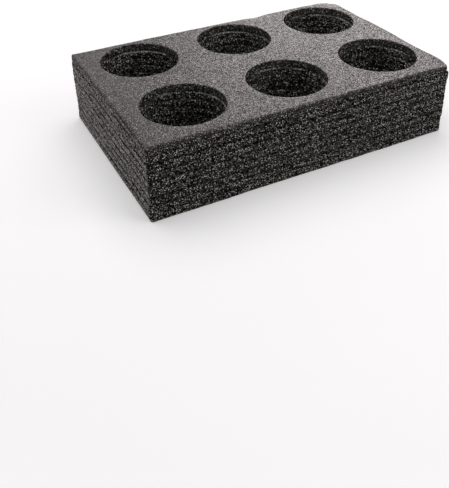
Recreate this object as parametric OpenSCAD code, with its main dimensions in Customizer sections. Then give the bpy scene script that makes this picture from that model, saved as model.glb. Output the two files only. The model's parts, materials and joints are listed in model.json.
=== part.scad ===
// Foam drink carrier.
// Flat foam sheets are heat-welded face to face into one solid block, and round blind holes
// are cut down into it from above, one for each cup. Each sheet's edge is soft, so a shallow
// groove runs along every weld line, around the outside of the block and inside the holes.
// X runs along the block, the front is at -Y, and Z = 0 is the face it stands on.

/* [Cup holes] */
// Number of holes along the block
columns = 3; // [1:1:4]
// Number of holes across the block
rows = 2; // [1:1:3]
// Diameter of each hole
hole_d = 71; // [50:0.5:100]
// Foam between neighbouring holes along the block
web_x = 29; // [10:0.5:50]
// Foam between neighbouring holes across the block
web_y = 27; // [10:0.5:50]
// Number of whole sheets left as the floor under the holes
floor_sheets = 1; // [1:1:3]

/* [Margins] */
// Foam between the left end and the first column
margin_left = 18; // [8:0.5:40]
// Foam between the last column and the right end
margin_right = 11; // [8:0.5:40]
// Foam between the front face and the first row
margin_front = 15; // [8:0.5:40]
// Foam between the last row and the back face
margin_back = 8; // [8:0.5:40]

/* [Sheets] */
// Number of foam sheets in the block
sheet_count = 9; // [5:1:14]
// Thickness of one sheet
sheet_t = 7.75; // [6:0.05:12]
// Depth of the groove along a weld line
seam_depth = 0.8; // [0.2:0.1:2]
// Height of the bevel that each sheet gives to the groove beside it
seam_bevel = 0.7; // [0.2:0.1:2]

/* [Edges] */
// Radius of the edge around the top face
top_edge_r = 2.5; // [0.5:0.1:3.5]
// Radius of the rim of each hole
rim_r = 1; // [0.3:0.1:3]
// Radius of the block's upright corners
corner_r = 2; // [0.5:0.1:6]

/* [Hidden] */
$fn = 96;
foam_colour = [0.2, 0.195, 0.19];
// How far a cutting shape runs past the face it cuts
overrun = 1;
// Number of straight steps in a rounded edge
arc_steps = 5;
hole_r = hole_d / 2;
pitch_x = hole_d + web_x;
pitch_y = hole_d + web_y;
block_l = margin_left + (columns - 1) * pitch_x + hole_d + margin_right;
block_w = margin_front + (rows - 1) * pitch_y + hole_d + margin_back;
block_h = sheet_count * sheet_t;
floor_z = floor_sheets * sheet_t;
first_hole_x = -block_l / 2 + margin_left + hole_r;
first_hole_y = -block_w / 2 + margin_front + hole_r;

// Points of an arc after its start, from one angle to another
function arc(centre, r, from, to) = [
    for (i = [1 : arc_steps])
        let (a = from + (to - from) * i / arc_steps)
            centre + r * [cos(a), sin(a)]
];

// Edge of one sheet at distance x, from its lower weld line to the start of what is above its
// flat. "into" is the way to the foam: -1 on the outside of the block, +1 in a hole.
function sheet_edge(i, x, into, above) = [
    [x + into * seam_depth, i * sheet_t],
    [x, i * sheet_t + seam_bevel],
    [x, (i + 1) * sheet_t - above]
];

// Edges of the sheets from one number up to the top one, which ends in a rounded edge
function stack_edge(first, x, into, top_r) = concat(
    [
        for (i = [first : sheet_count - 1])
            each sheet_edge(i, x, into, i < sheet_count - 1 ? seam_bevel : top_r)
    ],
    into < 0
        ? arc([x - top_r, block_h - top_r], top_r, 0, 90)
        : arc([x + top_r, block_h - top_r], top_r, 180, 90)
);

// The same points on the other side of the middle, in the order that closes an outline
function mirrored(points) = [
    for (i = [len(points) - 1 : -1 : 0]) [-points[i].x, points[i].y]
];

// Upright section of the block between two opposite sides
module block_section(width) {
    side = stack_edge(0, width / 2, -1, top_edge_r);
    polygon(concat(side, mirrored(side)));
}

// Plan of the block, with its upright corners rounded
module block_plan() {
    x = block_l / 2 - corner_r;
    y = block_w / 2 - corner_r;
    polygon(concat(
        [[x + corner_r, y]], arc([x, y], corner_r, 0, 90),
        [[-x, y + corner_r]], arc([-x, y], corner_r, 90, 180),
        [[-x - corner_r, -y]], arc([-x, -y], corner_r, 180, 270),
        [[x, -y - corner_r]], arc([x, -y], corner_r, 270, 360)
    ));
}

// The welded block before its holes are cut
module block_body() {
    intersection() {
        rotate([90, 0, 90])
            linear_extrude(block_l + 2 * overrun, center = true)
                block_section(block_w);
        rotate([90, 0, 0])
            linear_extrude(block_w + 2 * overrun, center = true)
                block_section(block_l);
        translate([0, 0, -overrun])
            linear_extrude(block_h + 2 * overrun)
                block_plan();
    }
}

// Space of one cup hole, with its weld lines and its rounded rim
module cup_hole() {
    wall = stack_edge(floor_sheets, hole_r, 1, rim_r);
    rotate_extrude()
        polygon(concat(
            [[0, floor_z]], wall,
            [[hole_r + rim_r, block_h + overrun], [0, block_h + overrun]]
        ));
}

module foam_block() {
    color(foam_colour)
        difference() {
            block_body();
            for (column = [0 : columns - 1], row = [0 : rows - 1])
                translate([first_hole_x + column * pitch_x, first_hole_y + row * pitch_y, 0])
                    cup_hole();
        }
}

foam_block();
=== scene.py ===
"""Looks of the foam drink carrier.

One closed mesh stands for the foam block: nine welded sheets with soft, uneven edges, six cup
holes, a fine skin on the flat faces and open cells where the foam was cut. The mesh is worked
out in millimetres in the frame of the CAD model, and scaled to metres at the end.
"""
import json
import math
from collections import namedtuple

import bpy
import numpy as np
from mathutils import Matrix, Vector
from mathutils.geometry import delaunay_2d_cdt


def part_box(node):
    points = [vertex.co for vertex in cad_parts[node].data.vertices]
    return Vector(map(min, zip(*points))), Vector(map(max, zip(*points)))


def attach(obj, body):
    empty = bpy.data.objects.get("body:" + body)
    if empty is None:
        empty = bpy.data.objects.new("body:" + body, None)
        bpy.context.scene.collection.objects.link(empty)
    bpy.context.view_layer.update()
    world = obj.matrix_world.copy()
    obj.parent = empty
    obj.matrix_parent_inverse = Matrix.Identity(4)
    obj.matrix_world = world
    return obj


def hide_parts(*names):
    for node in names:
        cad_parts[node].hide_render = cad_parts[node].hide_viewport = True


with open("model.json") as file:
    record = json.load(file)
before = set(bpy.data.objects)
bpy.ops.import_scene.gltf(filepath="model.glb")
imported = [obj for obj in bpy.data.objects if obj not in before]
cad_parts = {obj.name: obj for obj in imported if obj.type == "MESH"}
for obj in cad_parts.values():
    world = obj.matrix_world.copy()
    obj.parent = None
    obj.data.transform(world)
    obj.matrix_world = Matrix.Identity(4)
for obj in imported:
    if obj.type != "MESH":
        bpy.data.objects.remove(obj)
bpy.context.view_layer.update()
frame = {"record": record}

MM = 0.001

# Sizes that the CAD model gives
block_low, block_high = (np.array(corner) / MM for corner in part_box("foam_block"))
LENGTH, WIDTH, HEIGHT = block_high - block_low
BORES = [mount for mount in frame["record"]["mounts"] if mount["kind"] == "bore"]
HOLE_R = BORES[0]["dims"]["r_mm"]
HOLE_CENTRES = [np.array(bore["pos_m"][:2]) / MM for bore in BORES]

# Sheets, counted from the bottom; the lowest one is the floor of the holes
SHEETS = 9
TOP_SHEET = SHEETS - 1
FLOOR_SHEETS = 1
SHEET_T = HEIGHT / SHEETS

# Spacing of the mesh along the walls, around the corners, over the top and over hidden faces
WALL_STEP = 1.9
CORNER_STEP = 0.8
TOP_STEP = 1.8
HIDDEN_STEP = 5.0
# Fewest steps around a corner
LEAST_STEPS = 3
# Rows of points up a sheet, by their share of its thickness, and how dark the weld line is there
SHEET_ROWS = {0.0: 1.0, 0.08: 0.75, 0.25: 0.0, 0.42: 0.0, 0.58: 0.0, 0.75: 0.0, 0.92: 0.55}
HIGHEST_ROW = max(SHEET_ROWS)
# Rows of points around a rounded edge, and rows of faces at its end that are skin
EDGE_ROWS = 4
SKIN_ROWS = 2
# How far points are shuffled: up and down a wall, and over a face as a share of their spacing
WALL_SHUFFLE = 0.3
FACE_SHUFFLE = 0.22
# Room between a face's points and the curve and the points of its outline, as shares of the spacing
CURVE_GAP = 0.5
POINT_GAP = 0.6

# Radii of the upright corners: the right end was trimmed rounder than the left one
CORNER_R = {"front_left": 2.4, "front_right": 5.5, "back_right": 8.0, "back_left": 2.4}
# What is left of a corner's radius when its outline is set in
LEAST_R = 0.5
# Radii of the edges around the top face and around the holes
TOP_EDGE_R = 2.6
RIM_R = 0.9
# Groove along a weld line: its depth, the mean share of that, and how sharply a sheet turns in to it
GROOVE_DEPTH = 0.9
GROOVE_MEAN = 0.75
GROOVE_SHARPNESS = 7
# How far the sheets stand back unevenly, and how much more they do at the right end
SHEET_UNEVEN = 0.35
RIGHT_UNEVEN = 1.0
# How much further the top sheet stands back in the holes, which leaves the lip under it proud
LIP_PROUD = 0.5
# How deep the open cells are, and how much shallower at a weld; how deep the skin's grain is
CELL_DEPTH = 0.16
WELD_FLATTENS = 0.6
SKIN_DEPTH = 0.1
# How far the weld lines wander, and half of how far the top face dips
WELD_WANDER = 0.55
TOP_WAVE = 0.28
# Shallow dent in the back edge of the top face: its place, half its width, its depth and its reach
DENT_X, DENT_HALF_WIDTH, DENT_DEPTH, DENT_REACH = 50.0, 11.0, 1.3, 12.0
# The worn right corners of the top face sink by this much, within this distance of the corner
CORNER_SINK, CORNER_SINK_REACH = 1.8, 22.0
# and the top sheet stands back there by this much, within about this distance
CORNER_WORN, CORNER_WORN_REACH = 2.2, 9.0

# Kinds of waves: how strong they are, how wide in mm, and the seed of their noise
Waves = namedtuple("Waves", "strength width seed")
LONG_WELD_WAVES, SHORT_WELD_WAVES = Waves(0.75, 34, 10), Waves(0.35, 8, 40)
LONG_TOP_WAVES, SHORT_TOP_WAVES = Waves(0.7, 38, 3), Waves(0.3, 11, 4)
SHEET_WAVES = Waves(1.0, 46, 0)
GROOVE_WAVES = Waves(0.45, 16, 20)
LIP_WAVES = Waves(1.0, 14, 40)
EDGE_WAVES = Waves(0.25, 14, 60)
# What is added to those seeds for the outer wall, for the first hole, and from hole to hole
BLOCK_SEED = 100
HOLE_SEED, HOLE_SEED_STEP = 200, 100

# What the cut foam's material is told at each point: how far it is a weld line, a lip's painted
# highlight, and calm
TAGS = ("weld", "lip_highlight", "calm")
# How dark the weld lines are in the holes, next to those outside
HOLE_WELDS = 0.3
# Which way the wall of a hole faces where the painted highlight of its lips and its calm top sheet show
# most, and how far it has to face that way for them to show at all, and fully
LIP_FACES = np.array([-0.76, -0.65])
LIP_SHOWS = (0.1, 0.75)
# The painted highlight of a lip is broken off where its waves are below the first value, and whole above
# the second
LIP_WHOLE = (-0.4, 0.25)
# How strong the painted highlight is on the lips under the lower welds, next to the one under the top
# sheet
LOWER_LIP_HIGHLIGHTS = 0.25
# Share of the top sheet's flat edge above which its cells are calm outside
CALM_FROM = 0.6
# How calm the whole of that sheet's edge is in the holes: least and most
HOLE_CALM = (0.15, 1.0)
# Numbers of the materials
SIDES, HOLES, SKIN = range(3)

random = np.random.default_rng(seed=20)

# Whole numbers that scramble a lattice point's coordinates and seed into a random value
AXIS_FACTORS = (73856093, 19349663)
SEED_FACTOR = 26544357
SCRAMBLES = ((13, 1274126177), (15, 73244475))
LAST_SHIFT = 16
LARGEST = 0x7FFFFFFF


def lattice(cell, seed):
    """A steady pseudo-random value from -1 to 1 for each whole-number lattice point."""
    h = seed * SEED_FACTOR
    for axis, factor in enumerate(AXIS_FACTORS):
        h = h ^ cell[:, axis] * factor
    for shift, factor in SCRAMBLES:
        h = (h ^ (h >> shift)) * factor & LARGEST
    return (h ^ (h >> LAST_SHIFT)) / (LARGEST // 2) - 1.0


def ease(t):
    """Turns an even rise from 0 to 1 into one that starts and ends gently."""
    return t * t * (3 - 2 * t)


def smoothstep(low, high, x):
    """A gentle rise from 0 at low to 1 at high."""
    return ease(np.clip((x - low) / (high - low), 0, 1))


def noise(plan, width, seed):
    """Smooth noise from -1 to 1 over the plan, with bumps about that wide."""
    place = plan / width
    base = np.floor(place).astype(np.int64)
    share = ease(place - base)
    total = np.zeros(len(plan))
    for corner in np.ndindex(2, 2):
        weight = np.prod(np.where(corner, share, 1 - share), axis=1)
        total += weight * lattice(base + corner, seed)
    return total


def waves(plan, seed, *kinds):
    """Sum of some kinds of waves over the plan."""
    return sum(kind.strength * noise(plan, kind.width, kind.seed + seed) for kind in kinds)


class Outline:
    """Plan of a wall: its points, and the directions out of the foam there.

    Near a corner, where a point has only so much room to go straight into the foam, it goes on
    along the corner's diagonal, so that the outline keeps its order however deep it is set in.
    """

    def __init__(self, points, normals, diagonals, room):
        self.points = points
        self.normals = normals
        self.diagonals = diagonals
        self.room = room

    def inset(self, depth):
        straight = np.minimum(depth, self.room)[:, None]
        rest = np.maximum(depth - self.room, 0)[:, None]
        return self.points - self.normals * straight - self.diagonals * rest


def endless_room(count):
    """Diagonals and room of points that can go straight into the foam as far as they need."""
    return np.zeros((count, 2)), np.full(count, np.inf)


def block_outline():
    """Plan of the block, anticlockwise from the front left corner."""
    corners = (
        ("front_left", -1, -1, 180),
        ("front_right", 1, -1, 270),
        ("back_right", 1, 1, 0),
        ("back_left", -1, 1, 90),
    )
    arcs = []
    for name, side_x, side_y, start in corners:
        r = CORNER_R[name]
        side = np.array([side_x, side_y])
        centre = side * (np.array([LENGTH, WIDTH]) / 2 - r)
        steps = max(LEAST_STEPS, round(r * math.pi / 2 / CORNER_STEP))
        angles = np.radians(np.linspace(start, start + 90, steps + 1))
        directions = np.column_stack([np.cos(angles), np.sin(angles)])
        diagonals = np.tile(side, (steps + 1, 1))
        room = np.full(steps + 1, r - LEAST_R)
        arcs.append((centre + r * directions, directions, diagonals, room))
    stretches = []
    for arc, next_arc in zip(arcs, arcs[1:] + arcs[:1]):
        stretches.append(arc)
        start, direction = arc[0][-1], arc[1][-1]
        span = next_arc[0][0] - start
        steps = round(np.linalg.norm(span) / WALL_STEP)
        share = np.arange(1, steps)[:, None] / steps
        directions = np.tile(direction, (steps - 1, 1))
        stretches.append((start + share * span, directions, *endless_room(steps - 1)))
    return Outline(*(np.concatenate(column) for column in zip(*stretches)))


def hole_outline(centre):
    """Plan of one hole, clockwise."""
    count = round(2 * math.pi * HOLE_R / WALL_STEP)
    angles = -2 * math.pi * np.arange(count) / count
    directions = np.column_stack([np.cos(angles), np.sin(angles)])
    return Outline(centre + HOLE_R * directions, -directions, *endless_room(count))


def to_right_corner(plan):
    """Distance from the nearer of the two right corners."""
    return np.hypot(plan[:, 0] - LENGTH / 2, np.abs(plan[:, 1]) - WIDTH / 2)


def top_height(plan):
    """Height of the top face, which is a little wavy, dented at its back edge and worn at the right."""
    wave = TOP_WAVE * (waves(plan, 0, LONG_TOP_WAVES, SHORT_TOP_WAVES) - 1)
    along = np.exp(-(((plan[:, 0] - DENT_X) / DENT_HALF_WIDTH) ** 2))
    dent = DENT_DEPTH * along * smoothstep(WIDTH / 2 - DENT_REACH, WIDTH / 2, plan[:, 1])
    sink = CORNER_SINK * smoothstep(CORNER_SINK_REACH, 0, to_right_corner(plan))
    return HEIGHT + wave - dent - sink


def weld_height(i, plan):
    """Height of the weld under sheet i, which wanders a little, or of the flat bottom or the top."""
    if i == 0:
        return np.zeros(len(plan))
    if i == SHEETS:
        return top_height(plan)
    return i * SHEET_T + WELD_WANDER * waves(plan, i, LONG_WELD_WAVES, SHORT_WELD_WAVES)


def sheet_depth(outline, i, in_hole, seed):
    """How far the edge of sheet i stands back from the outline."""
    plan = outline.points
    is_top = i == TOP_SHEET
    depth = SHEET_UNEVEN * (1 + waves(plan, seed + i, SHEET_WAVES))
    if in_hole:
        return depth + is_top * LIP_PROUD
    depth = depth * (1 + RIGHT_UNEVEN * np.maximum(outline.normals[:, 0], 0))
    worn = np.exp(-((to_right_corner(plan) / CORNER_WORN_REACH) ** 2))
    return depth + is_top * CORNER_WORN * worn


def sheet_rows(outline, i, in_hole, edge_r, seed):
    """Rows of points up the flat edge of sheet i, which turns in to a groove at its welds."""
    plan = outline.points
    count = len(plan)
    is_top = i == TOP_SHEET
    lower, upper = weld_height(i, plan), weld_height(i + 1, plan)
    flat_share = 1 - edge_r / SHEET_T if is_top else 1.0
    depth = sheet_depth(outline, i, in_hole, seed)
    groove = GROOVE_DEPTH * (GROOVE_MEAN + waves(plan, seed + i, GROOVE_WAVES))
    rows = []
    for share in SHEET_ROWS:
        has_weld = share < 0.5 or not is_top
        turn = abs(2 * share - 1) ** GROOVE_SHARPNESS if has_weld else 0.0
        cells = CELL_DEPTH * random.random(count) ** 2 * (1 - WELD_FLATTENS * turn)
        z = lower + (upper - lower) * share * flat_share
        if share > 0:
            z = z + random.uniform(-WALL_SHUFFLE, WALL_SHUFFLE, count) * (1 - turn)
        rows.append(np.column_stack([outline.inset(depth + turn * groove + cells), z]))
    return rows


def sheet_tags(outline, i, in_hole, seed):
    """Tags of the rows of points up the flat edge of sheet i."""
    plan = outline.points
    zeros = np.zeros(len(plan))
    is_top = i == TOP_SHEET
    darkness = HOLE_WELDS if in_hole else float(i > 0)
    facing = highlight_mask = zeros
    # Painted highlight: the lips are made paler where the wall faces that way, and broken up by waves
    if in_hole:
        facing = smoothstep(*LIP_SHOWS, outline.normals @ LIP_FACES)
        highlight_mask = facing * smoothstep(*LIP_WHOLE, waves(plan, seed + i, LIP_WAVES))
        highlight_mask = highlight_mask * (1.0 if i == TOP_SHEET - 1 else LOWER_LIP_HIGHLIGHTS)
    tags = []
    for share, shade in SHEET_ROWS.items():
        weld = zeros + shade * darkness
        lip_highlight = highlight_mask if share == HIGHEST_ROW and not is_top else zeros
        calm = np.interp(facing, (0, 1), HOLE_CALM) if in_hole else zeros + (share > CALM_FROM)
        tags.append(np.column_stack([weld, lip_highlight, calm * is_top]))
    return tags


def wall(outline, first_sheet, edge_r, seed):
    """Rows of points up a wall and over its rounded top edge, and their tags."""
    plan = outline.points
    in_hole = first_sheet > 0
    rows, tags = [], []
    for i in range(first_sheet, SHEETS):
        rows += sheet_rows(outline, i, in_hole, edge_r, seed)
        tags += sheet_tags(outline, i, in_hole, seed)
    top = top_height(plan)
    depth = sheet_depth(outline, TOP_SHEET, in_hole, seed)
    edge = edge_r * (1 + waves(plan, seed, EDGE_WAVES))
    calm_edge = np.tile([0.0, 0.0, 1.0], (len(plan), 1))
    for step in range(1, EDGE_ROWS + 1):
        angle = step / EDGE_ROWS * math.pi / 2
        z = top - edge * (1 - math.sin(angle))
        rows.append(np.column_stack([outline.inset(depth + edge * (1 - math.cos(angle))), z]))
        tags.append(calm_edge)
    return np.array(rows), np.array(tags)


def hex_grid(spacing):
    """Slightly shuffled points over the plan of the block."""
    ys = np.arange(-WIDTH / 2, WIDTH / 2, spacing * math.sqrt(3) / 2)
    xs = np.arange(-LENGTH / 2, LENGTH / 2, spacing)
    grid = np.array([[x + spacing / 2 * (k % 2), y] for k, y in enumerate(ys) for x in xs])
    return grid + random.uniform(-FACE_SHUFFLE, FACE_SHUFFLE, grid.shape) * spacing


def far_from(points, loop, gap):
    """Which points are further than gap from every point of a loop, taken some at a time."""
    at_a_time = 64
    nearest = np.full(len(points), np.inf)
    for start in range(0, len(loop), at_a_time):
        apart = points[:, None] - loop[None, start:start + at_a_time]
        nearest = np.minimum(nearest, (apart ** 2).sum(-1).min(1))
    return nearest > gap ** 2


def inside_loop(points, loop):
    """Which points lie inside a closed outline."""
    ahead = np.roll(loop, -1, axis=0)
    x, y = points[:, 0, None], points[:, 1, None]
    crosses = (loop[:, 1] > y) != (ahead[:, 1] > y)
    rise = np.where(loop[:, 1] == ahead[:, 1], 1.0, ahead[:, 1] - loop[:, 1])
    meets = loop[:, 0] + (y - loop[:, 1]) * (ahead[:, 0] - loop[:, 0]) / rise
    return (crosses & (x < meets)).sum(axis=1) % 2 == 1


def triangulate(loops, inner):
    """Triangles between an outer loop, hole loops and points inside, as numbers into all of those."""
    points = np.concatenate([*loops, inner])
    edges = []
    start = 0
    for loop in loops:
        count = len(loop)
        edges += [(start + k, start + (k + 1) % count) for k in range(count)]
        start += count
    keep_inside, tolerance = 1, 1e-5
    made = delaunay_2d_cdt([Vector(p) for p in points], edges, [], keep_inside, tolerance)
    _, _, made_faces, made_from, _, _ = made
    numbers = np.array([sources[0] for sources in made_from])
    faces = numbers[np.array(made_faces)]
    for loop in loops[1:]:
        faces = faces[~inside_loop(points[faces].mean(axis=1), loop)]
    return faces


class MeshParts:
    """Points, their tags and faces of the one mesh, gathered part by part."""

    def __init__(self):
        self.points = np.zeros((0, 3))
        self.tags = np.zeros((0, len(TAGS)))
        self.faces = []
        self.materials = []

    def add(self, points, tags):
        """Adds points and returns their numbers."""
        numbers = np.arange(len(points)) + len(self.points)
        self.points = np.concatenate([self.points, points])
        self.tags = np.concatenate([self.tags, tags])
        return numbers

    def plan(self, loop):
        """Plan of the points with those numbers."""
        return self.points[loop][:, :2]

    def add_wall(self, rows, tags, material):
        """Adds a closed wall and returns the numbers of its lowest and highest loops."""
        height, count, _ = rows.shape
        numbers = self.add(rows.reshape(-1, 3), tags.reshape(-1, len(TAGS))).reshape(height, count)
        ahead = np.roll(numbers, -1, axis=1)
        quads = np.stack([numbers[:-1], ahead[:-1], ahead[1:], numbers[1:]], axis=-1)
        self.faces += quads.reshape(-1, 4).tolist()
        self.materials += [material] * (height - 1 - SKIN_ROWS) * count + [SKIN] * SKIN_ROWS * count
        return numbers[0], numbers[-1]

    def add_cap(self, loops, grid, heights, grain=0.0, turned=False):
        """Adds a flat face with a skin that ends on loops already there, the outer one first."""
        rings = [self.plan(loop) for loop in loops]
        points = np.column_stack([grid, heights - grain * random.random(len(grid))])
        numbers = np.concatenate([*loops, self.add(points, np.zeros((len(grid), len(TAGS))))])
        faces = numbers[triangulate(rings, grid)].tolist()
        self.faces += [face[::-1] for face in faces] if turned else faces
        self.materials += [SKIN] * len(faces)

    def to_object(self, name, materials):
        mesh = bpy.data.meshes.new(name)
        mesh.from_pydata((self.points * MM).tolist(), [], self.faces)
        for tag, values in zip(TAGS, self.tags.T):
            layer = mesh.attributes.new(tag, "FLOAT", "POINT")
            layer.data.foreach_set("value", values.astype(np.float32))
        mesh.polygons.foreach_set("use_smooth", [True] * len(mesh.polygons))
        for material in materials:
            mesh.materials.append(material)
        mesh.polygons.foreach_set("material_index", self.materials)
        mesh.update()
        piece = bpy.data.objects.new(name, mesh)
        bpy.context.scene.collection.objects.link(piece)
        return piece


def make_foam():
    """The block: its outer wall, the walls of its holes, and the flat faces that close them."""
    parts = MeshParts()
    outer_low, outer_high = parts.add_wall(*wall(block_outline(), 0, TOP_EDGE_R, BLOCK_SEED), SIDES)
    fine = hex_grid(TOP_STEP)
    coarse = hex_grid(HIDDEN_STEP)
    inside = np.abs(fine) < np.array([LENGTH, WIDTH]) / 2 - TOP_EDGE_R - CURVE_GAP * TOP_STEP
    fine = fine[inside.all(axis=1)]
    rims, floors = [], []
    for k, centre in enumerate(HOLE_CENTRES):
        seed = HOLE_SEED + HOLE_SEED_STEP * k
        low, high = parts.add_wall(*wall(hole_outline(centre), FLOOR_SHEETS, RIM_R, seed), HOLES)
        rims.append(high)
        fine = fine[np.linalg.norm(fine - centre, axis=1) > HOLE_R + RIM_R + CURVE_GAP * TOP_STEP]
        reach = np.linalg.norm(coarse - centre, axis=1)
        floors.append((low, coarse[reach < HOLE_R - CURVE_GAP * WALL_STEP]))

    fine = fine[inside_loop(fine, parts.plan(outer_high))]
    for loop in (outer_high, *rims):
        fine = fine[far_from(fine, parts.plan(loop), POINT_GAP * TOP_STEP)]
    parts.add_cap([outer_high, *rims], fine, top_height(fine), SKIN_DEPTH)
    for low, points in floors:
        parts.add_cap([low], points, weld_height(FLOOR_SHEETS, points))
    base = parts.plan(outer_low)
    coarse = coarse[inside_loop(coarse, base)]
    coarse = coarse[far_from(coarse, base, WALL_STEP)]
    parts.add_cap([outer_low], coarse, weld_height(0, coarse), turned=True)
    materials = (cut_material(CUT_SIDES), cut_material(CUT_HOLES), skin_material())
    return parts.to_object("foam_carrier", materials)


def add_node(tree, kind, inputs=None, **settings):
    """Adds a shader node; an input is a value or another node's output."""
    made = tree.nodes.new(kind)
    for key, value in settings.items():
        setattr(made, key, value)
    for socket, value in (inputs or {}).items():
        if isinstance(value, bpy.types.NodeSocket):
            tree.links.new(value, made.inputs[socket])
        else:
            made.inputs[socket].default_value = value
    return made


def maths(tree, operation, *values, clamp=False):
    inputs = dict(enumerate(values))
    return add_node(tree, "ShaderNodeMath", inputs, operation=operation, use_clamp=clamp).outputs[0]


def vector_maths(tree, operation, inputs):
    return add_node(tree, "ShaderNodeVectorMath", inputs, operation=operation).outputs[0]


def mix(tree, share, a, b):
    """The value a where share is 0 and b where it is 1."""
    inputs = {0: share, 2: a, 3: b}
    return add_node(tree, "ShaderNodeMix", inputs, data_type="FLOAT").outputs[0]


def ramp(tree, value, stops):
    """A grey ramp through (place, brightness) stops."""
    made = add_node(tree, "ShaderNodeValToRGB", {"Fac": value})
    elements = made.color_ramp.elements
    while len(elements) < len(stops):
        elements.new(0.5)
    for element, (place, grey) in zip(elements, stops):
        element.position = place
        element.color = (grey, grey, grey, 1)
    return made.outputs["Color"]


def attribute(tree, name):
    return add_node(tree, "ShaderNodeAttribute", attribute_name=name).outputs["Fac"]


def voronoi(tree, coords, size):
    """Outputs of a texture of cells of about that size in mm."""
    return add_node(tree, "ShaderNodeTexVoronoi", {"Vector": coords, "Scale": 1 / size}).outputs


def cell_value(tree, cells):
    """A random value from 0 to 1 for each cell of such a texture."""
    return add_node(tree, "ShaderNodeSeparateColor", {"Color": cells["Color"]}).outputs[0]


# How far along another pattern of the same kind is taken, so that the two don't line up
PATTERN_STEP = (31.0,) * 3
# The mean of a cell's random colour
MEAN_COLOUR = (0.5,) * 3

# Painted glints: the films mark the cells' real walls, and their pale spots are painted light that those
# walls catch
# Films in the cut cells: their spacing and greatest radius in mm, and how rare the bright ones are
Films = namedtuple("Films", "spacing radius rarity")
DIM_GLINT_FILMS = Films(0.85, 0.36, 1.4)
# How much brighter a film gets with each mm from its edge
FILM_SLOPE = 8.0
# Cut foam: its films with bright painted glints, how bright its dim ones are next to them, and its sheen
# at flat angles
Cut = namedtuple("Cut", "name bright_films dim_share sheen")
CUT_SIDES = Cut("foam_sides", Films(1.45, 0.46, 0.68), 0.48, 0.85)
# Painted light: the hole walls get their own copy of the cut foam, with bigger films that brighten their
# shade, and no sheen
CUT_HOLES = Cut("foam_holes", Films(1.7, 0.64, 1.1), 0.36, 0.0)
# Brightness of the blackest and palest cells, and of calm foam, with the share that it takes
BLACKEST, PALEST = 0.002, 0.95
CALM_TONE, CALM_SHARE = 0.06, 0.4
# Painted highlight: what a whole lip adds to the brightness, for the light that it catches
LIP_HIGHLIGHT = 0.24
# Noise of this size in mm breaks up the weld lines, from faint to full
BREAK_SIZE = 6.0
BREAK_STOPS = ((0.35, 0.4), (0.55, 1.0))
# Small facets that catch the light: their size in mm and how far they tilt
Facets = namedtuple("Facets", "size tilt")
CUT_FACETS = Facets(1.0, 0.55)
SKIN_FACETS = Facets(0.75, 0.9)
# Size in mm of the skin's light and dark grains, and how bright they are
SKIN_GRAIN = 0.5
SKIN_STOPS = ((0.5, 0.004), (0.82, 0.03), (0.96, 0.36))
# Tints, and what is the same all over a surface
CUT_TINT = (1.03, 0.99, 0.95)
CUT_GLOSS = {
    "Roughness": 0.6,
    "Specular IOR Level": 0.0,
    "Sheen Roughness": 0.2,
    "Sheen Tint": (1.0, 0.94, 0.92, 1),
}
SKIN_TINT = (1.12, 0.97, 0.96)
SKIN_GLOSS = {
    "Roughness": 0.26,
    "Specular IOR Level": 0.2,
    "Specular Tint": (1.0, 0.9, 0.88, 1),
}


def start_material(name, gloss):
    """A new material with that gloss, its shader, and the place on the object in mm."""
    material = bpy.data.materials.new(name)
    material.use_nodes = True
    tree = material.node_tree
    shader = tree.nodes["Principled BSDF"]
    for socket, value in gloss.items():
        shader.inputs[socket].default_value = value
    place = add_node(tree, "ShaderNodeTexCoord").outputs["Object"]
    coords = vector_maths(tree, "SCALE", {0: place, "Scale": 1 / MM})
    return material, tree, shader, coords


def paint(tree, shader, tone, tint):
    """Gives the shader a colour: one tint, as bright as the tone says."""
    tree.links.new(vector_maths(tree, "SCALE", {0: tint, "Scale": tone}), shader.inputs["Base Color"])


def tilt_facets(tree, shader, coords, facets):
    """Turns the surface a little in each facet, so that each catches the light its own way."""
    cell = voronoi(tree, coords, facets.size)["Color"]
    centred = vector_maths(tree, "SUBTRACT", {0: cell, 1: MEAN_COLOUR})
    tilt = vector_maths(tree, "SCALE", {0: centred, "Scale": facets.tilt})
    upright = add_node(tree, "ShaderNodeNewGeometry").outputs["Normal"]
    turned = vector_maths(tree, "ADD", {0: upright, 1: tilt})
    tree.links.new(vector_maths(tree, "NORMALIZE", {0: turned}), shader.inputs["Normal"])


def film_glint_tone(tree, coords, films):
    """Painted glints of cell walls that face out: round pale spots of all sizes, the brighter the rarer.
    """
    cells = voronoi(tree, coords, films.spacing)
    inside = maths(tree, "SUBTRACT", films.radius / films.spacing, cells["Distance"])
    spot = maths(tree, "MULTIPLY", inside, FILM_SLOPE * films.spacing, clamp=True)
    brightness = maths(tree, "POWER", cell_value(tree, cells), films.rarity)
    return maths(tree, "MULTIPLY", brightness, spot)


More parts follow.
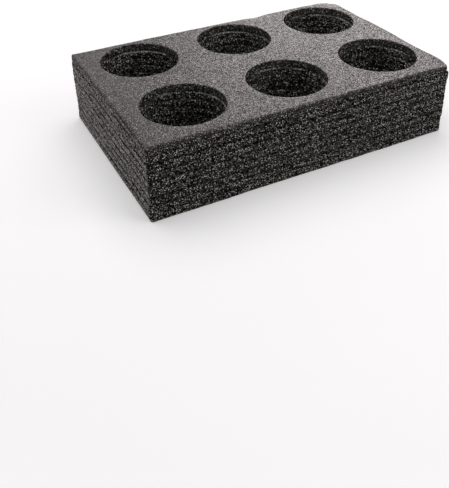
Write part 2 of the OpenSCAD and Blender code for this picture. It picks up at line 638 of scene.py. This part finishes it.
def cut_material(cut):
    """Open cells: most are black cups, and some show films, whose glints are painted into the colour as
    pale spots.
    """
    material, tree, shader, coords = start_material(cut.name, {**CUT_GLOSS, "Sheen Weight": cut.sheen})
    weld, lip_highlight, calm = (attribute(tree, tag) for tag in TAGS)
    # Painted glints: pale spots of rare bright films and of more dim ones
    bright = film_glint_tone(tree, coords, cut.bright_films)
    dim = film_glint_tone(tree, vector_maths(tree, "ADD", {0: coords, 1: PATTERN_STEP}), DIM_GLINT_FILMS)
    tone = maths(tree, "MAXIMUM", bright, maths(tree, "MULTIPLY_ADD", dim, cut.dim_share, BLACKEST))
    tone = mix(tree, maths(tree, "MULTIPLY", calm, CALM_SHARE), tone, CALM_TONE)
    # Painted highlight on the lips
    tone = maths(tree, "MINIMUM", maths(tree, "MULTIPLY_ADD", lip_highlight, LIP_HIGHLIGHT, tone), PALEST)

    breaks = add_node(tree, "ShaderNodeTexNoise", {"Vector": coords, "Scale": 1 / BREAK_SIZE})
    line = maths(tree, "MULTIPLY", weld, ramp(tree, breaks.outputs["Fac"], BREAK_STOPS))
    tone = maths(tree, "MULTIPLY", tone, maths(tree, "SUBTRACT", 1.0, line))
    paint(tree, shader, tone, CUT_TINT)
    tilt_facets(tree, shader, coords, CUT_FACETS)
    return material


def skin_material():
    """Closed skin of the sheets: small facets, some of which shine, and a few pale grains."""
    material, tree, shader, coords = start_material("foam_skin", SKIN_GLOSS)
    grains = voronoi(tree, vector_maths(tree, "ADD", {0: coords, 1: PATTERN_STEP}), SKIN_GRAIN)
    paint(tree, shader, ramp(tree, cell_value(tree, grains), SKIN_STOPS), SKIN_TINT)
    tilt_facets(tree, shader, coords, SKIN_FACETS)
    return material


# Floor, in metres: half its side, and the distances from its middle over which it fades to white
FLOOR_HALF = 4.0
FADE_FROM, FADE_TO = 0.35, 0.9
FLOOR_COLOUR = (0.87, 0.85, 0.86, 1)
WHITE = (1, 1, 1, 1)
# How far the floor is lifted to white in the picture; the light that it gives back stays plain
FLOOR_LIFT = 0.23
# Light from all around
WORLD_LIGHT = 0.22


def seen_share(tree):
    """1 where the background is looked at, straight or in a shiny or clear surface, else 0."""
    path = add_node(tree, "ShaderNodeLightPath").outputs
    straight_or_shiny = maths(tree, "MAXIMUM", path["Is Camera Ray"], path["Is Glossy Ray"])
    return maths(tree, "MAXIMUM", straight_or_shiny, path["Is Transmission Ray"])


def floor_material():
    """White floor that keeps the shadow, and is plain white further out."""
    material = bpy.data.materials.new("floor")
    material.use_nodes = True
    tree = material.node_tree
    tree.nodes.clear()
    place = add_node(tree, "ShaderNodeTexCoord").outputs["Object"]
    reach = add_node(tree, "ShaderNodeVectorMath", {0: place}, operation="LENGTH").outputs["Value"]
    limits = {"Value": reach, "From Min": FADE_FROM, "From Max": FADE_TO}
    far = add_node(tree, "ShaderNodeMapRange", limits, interpolation_type="SMOOTHSTEP").outputs["Result"]
    lit = add_node(tree, "ShaderNodeBsdfDiffuse", {"Color": FLOOR_COLOUR}).outputs[0]
    lift = maths(tree, "MULTIPLY", seen_share(tree), mix(tree, far, FLOOR_LIFT, 1.0))
    glow = add_node(tree, "ShaderNodeEmission", {"Color": WHITE, "Strength": lift}).outputs[0]
    out = add_node(tree, "ShaderNodeAddShader", {0: lit, 1: glow}).outputs[0]
    add_node(tree, "ShaderNodeOutputMaterial", {"Surface": out})
    return material


def make_floor():
    mesh = bpy.data.meshes.new("floor")
    sides = ((-1, -1), (1, -1), (1, 1), (-1, 1))
    mesh.from_pydata([(x * FLOOR_HALF, y * FLOOR_HALF, 0) for x, y in sides], [], [(0, 1, 2, 3)])
    floor = bpy.data.objects.new("floor", mesh)
    bpy.context.scene.collection.objects.link(floor)
    mesh.materials.append(floor_material())
    return floor


def make_world():
    """White where it is looked at, and plain light on the object."""
    world = bpy.data.worlds.new("studio")
    bpy.context.scene.world = world
    world.use_nodes = True
    tree = world.node_tree
    background = tree.nodes["Background"].inputs
    background["Color"].default_value = WHITE
    tree.links.new(mix(tree, seen_share(tree), WORLD_LIGHT, 1.0), background["Strength"])


def add_lamp(name, place, aim, size, brightness, colour=(1, 1, 1)):
    """A rectangular softbox of that width and height in metres, which looks that bright."""
    width, height = size
    data = bpy.data.lights.new(name, "AREA")
    data.shape = "RECTANGLE"
    data.size = width
    data.size_y = height
    data.color = colour
    data.energy = math.pi * width * height * brightness
    lamp = bpy.data.objects.new(name, data)
    lamp.location = place
    lamp.rotation_euler = (Vector(aim) - Vector(place)).to_track_quat("-Z", "Y").to_euler()
    lamp.visible_camera = False
    bpy.context.scene.collection.objects.link(lamp)


# Camera of the photograph, from a fit to the block's corners and holes: the picture's longer side
# and the focal length in pixels, the shift as a share of that side, the angles in degrees, the
# point that it is turned to, and its distance from there in mm
PICTURE_SIDE = 488
FOCAL_LENGTH = 693.9
SHIFT_X, SHIFT_Y = -0.0154, -0.2541
VIEW_AZIMUTH, VIEW_ELEVATION, VIEW_ROLL = -27.66, 30.01, -0.51
VIEW_TARGET = (-74.0, -89.2, HEIGHT)
VIEW_DISTANCE = 546.6
# Nearest and furthest distance that it sees, in metres
CLIP_START, CLIP_END = 0.01, 50


def make_camera():
    data = bpy.data.cameras.new("camera")
    data.lens = FOCAL_LENGTH * data.sensor_width / PICTURE_SIDE
    data.shift_x = SHIFT_X
    data.shift_y = SHIFT_Y
    data.clip_start = CLIP_START
    data.clip_end = CLIP_END
    azimuth, elevation = math.radians(VIEW_AZIMUTH), math.radians(VIEW_ELEVATION)
    level = math.cos(elevation)
    back = Vector((math.sin(azimuth) * level, -math.cos(azimuth) * level, math.sin(elevation)))
    roll = Matrix.Rotation(math.radians(VIEW_ROLL), 3, "Z")
    turn = (-back).to_track_quat("-Z", "Y").to_matrix() @ roll
    place = (Vector(VIEW_TARGET) + VIEW_DISTANCE * back) * MM
    camera = bpy.data.objects.new("camera", data)
    camera.matrix_world = Matrix.Translation(place) @ turn.to_4x4()
    bpy.context.scene.collection.objects.link(camera)
    bpy.context.scene.camera = camera


make_camera()
foam = make_foam()
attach(foam, "root")
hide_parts("foam_block")

make_floor()
make_world()
add_lamp("overhead", place=(-0.1, 0.25, 1.05), aim=(0, 0, 0), size=(1.3, 1.3), brightness=1.8)
add_lamp("backdrop", place=(1.15, 1.25, 0.42), aim=(0, 0, 0.1), size=(1.2, 0.7), brightness=2.6,
         colour=(1.0, 0.92, 0.91))
add_lamp("front", place=(0.7, -0.8, 0.75), aim=(0, 0, 0.05), size=(0.8, 0.8), brightness=1.9)
bpy.context.scene.view_settings.view_transform = "Standard"
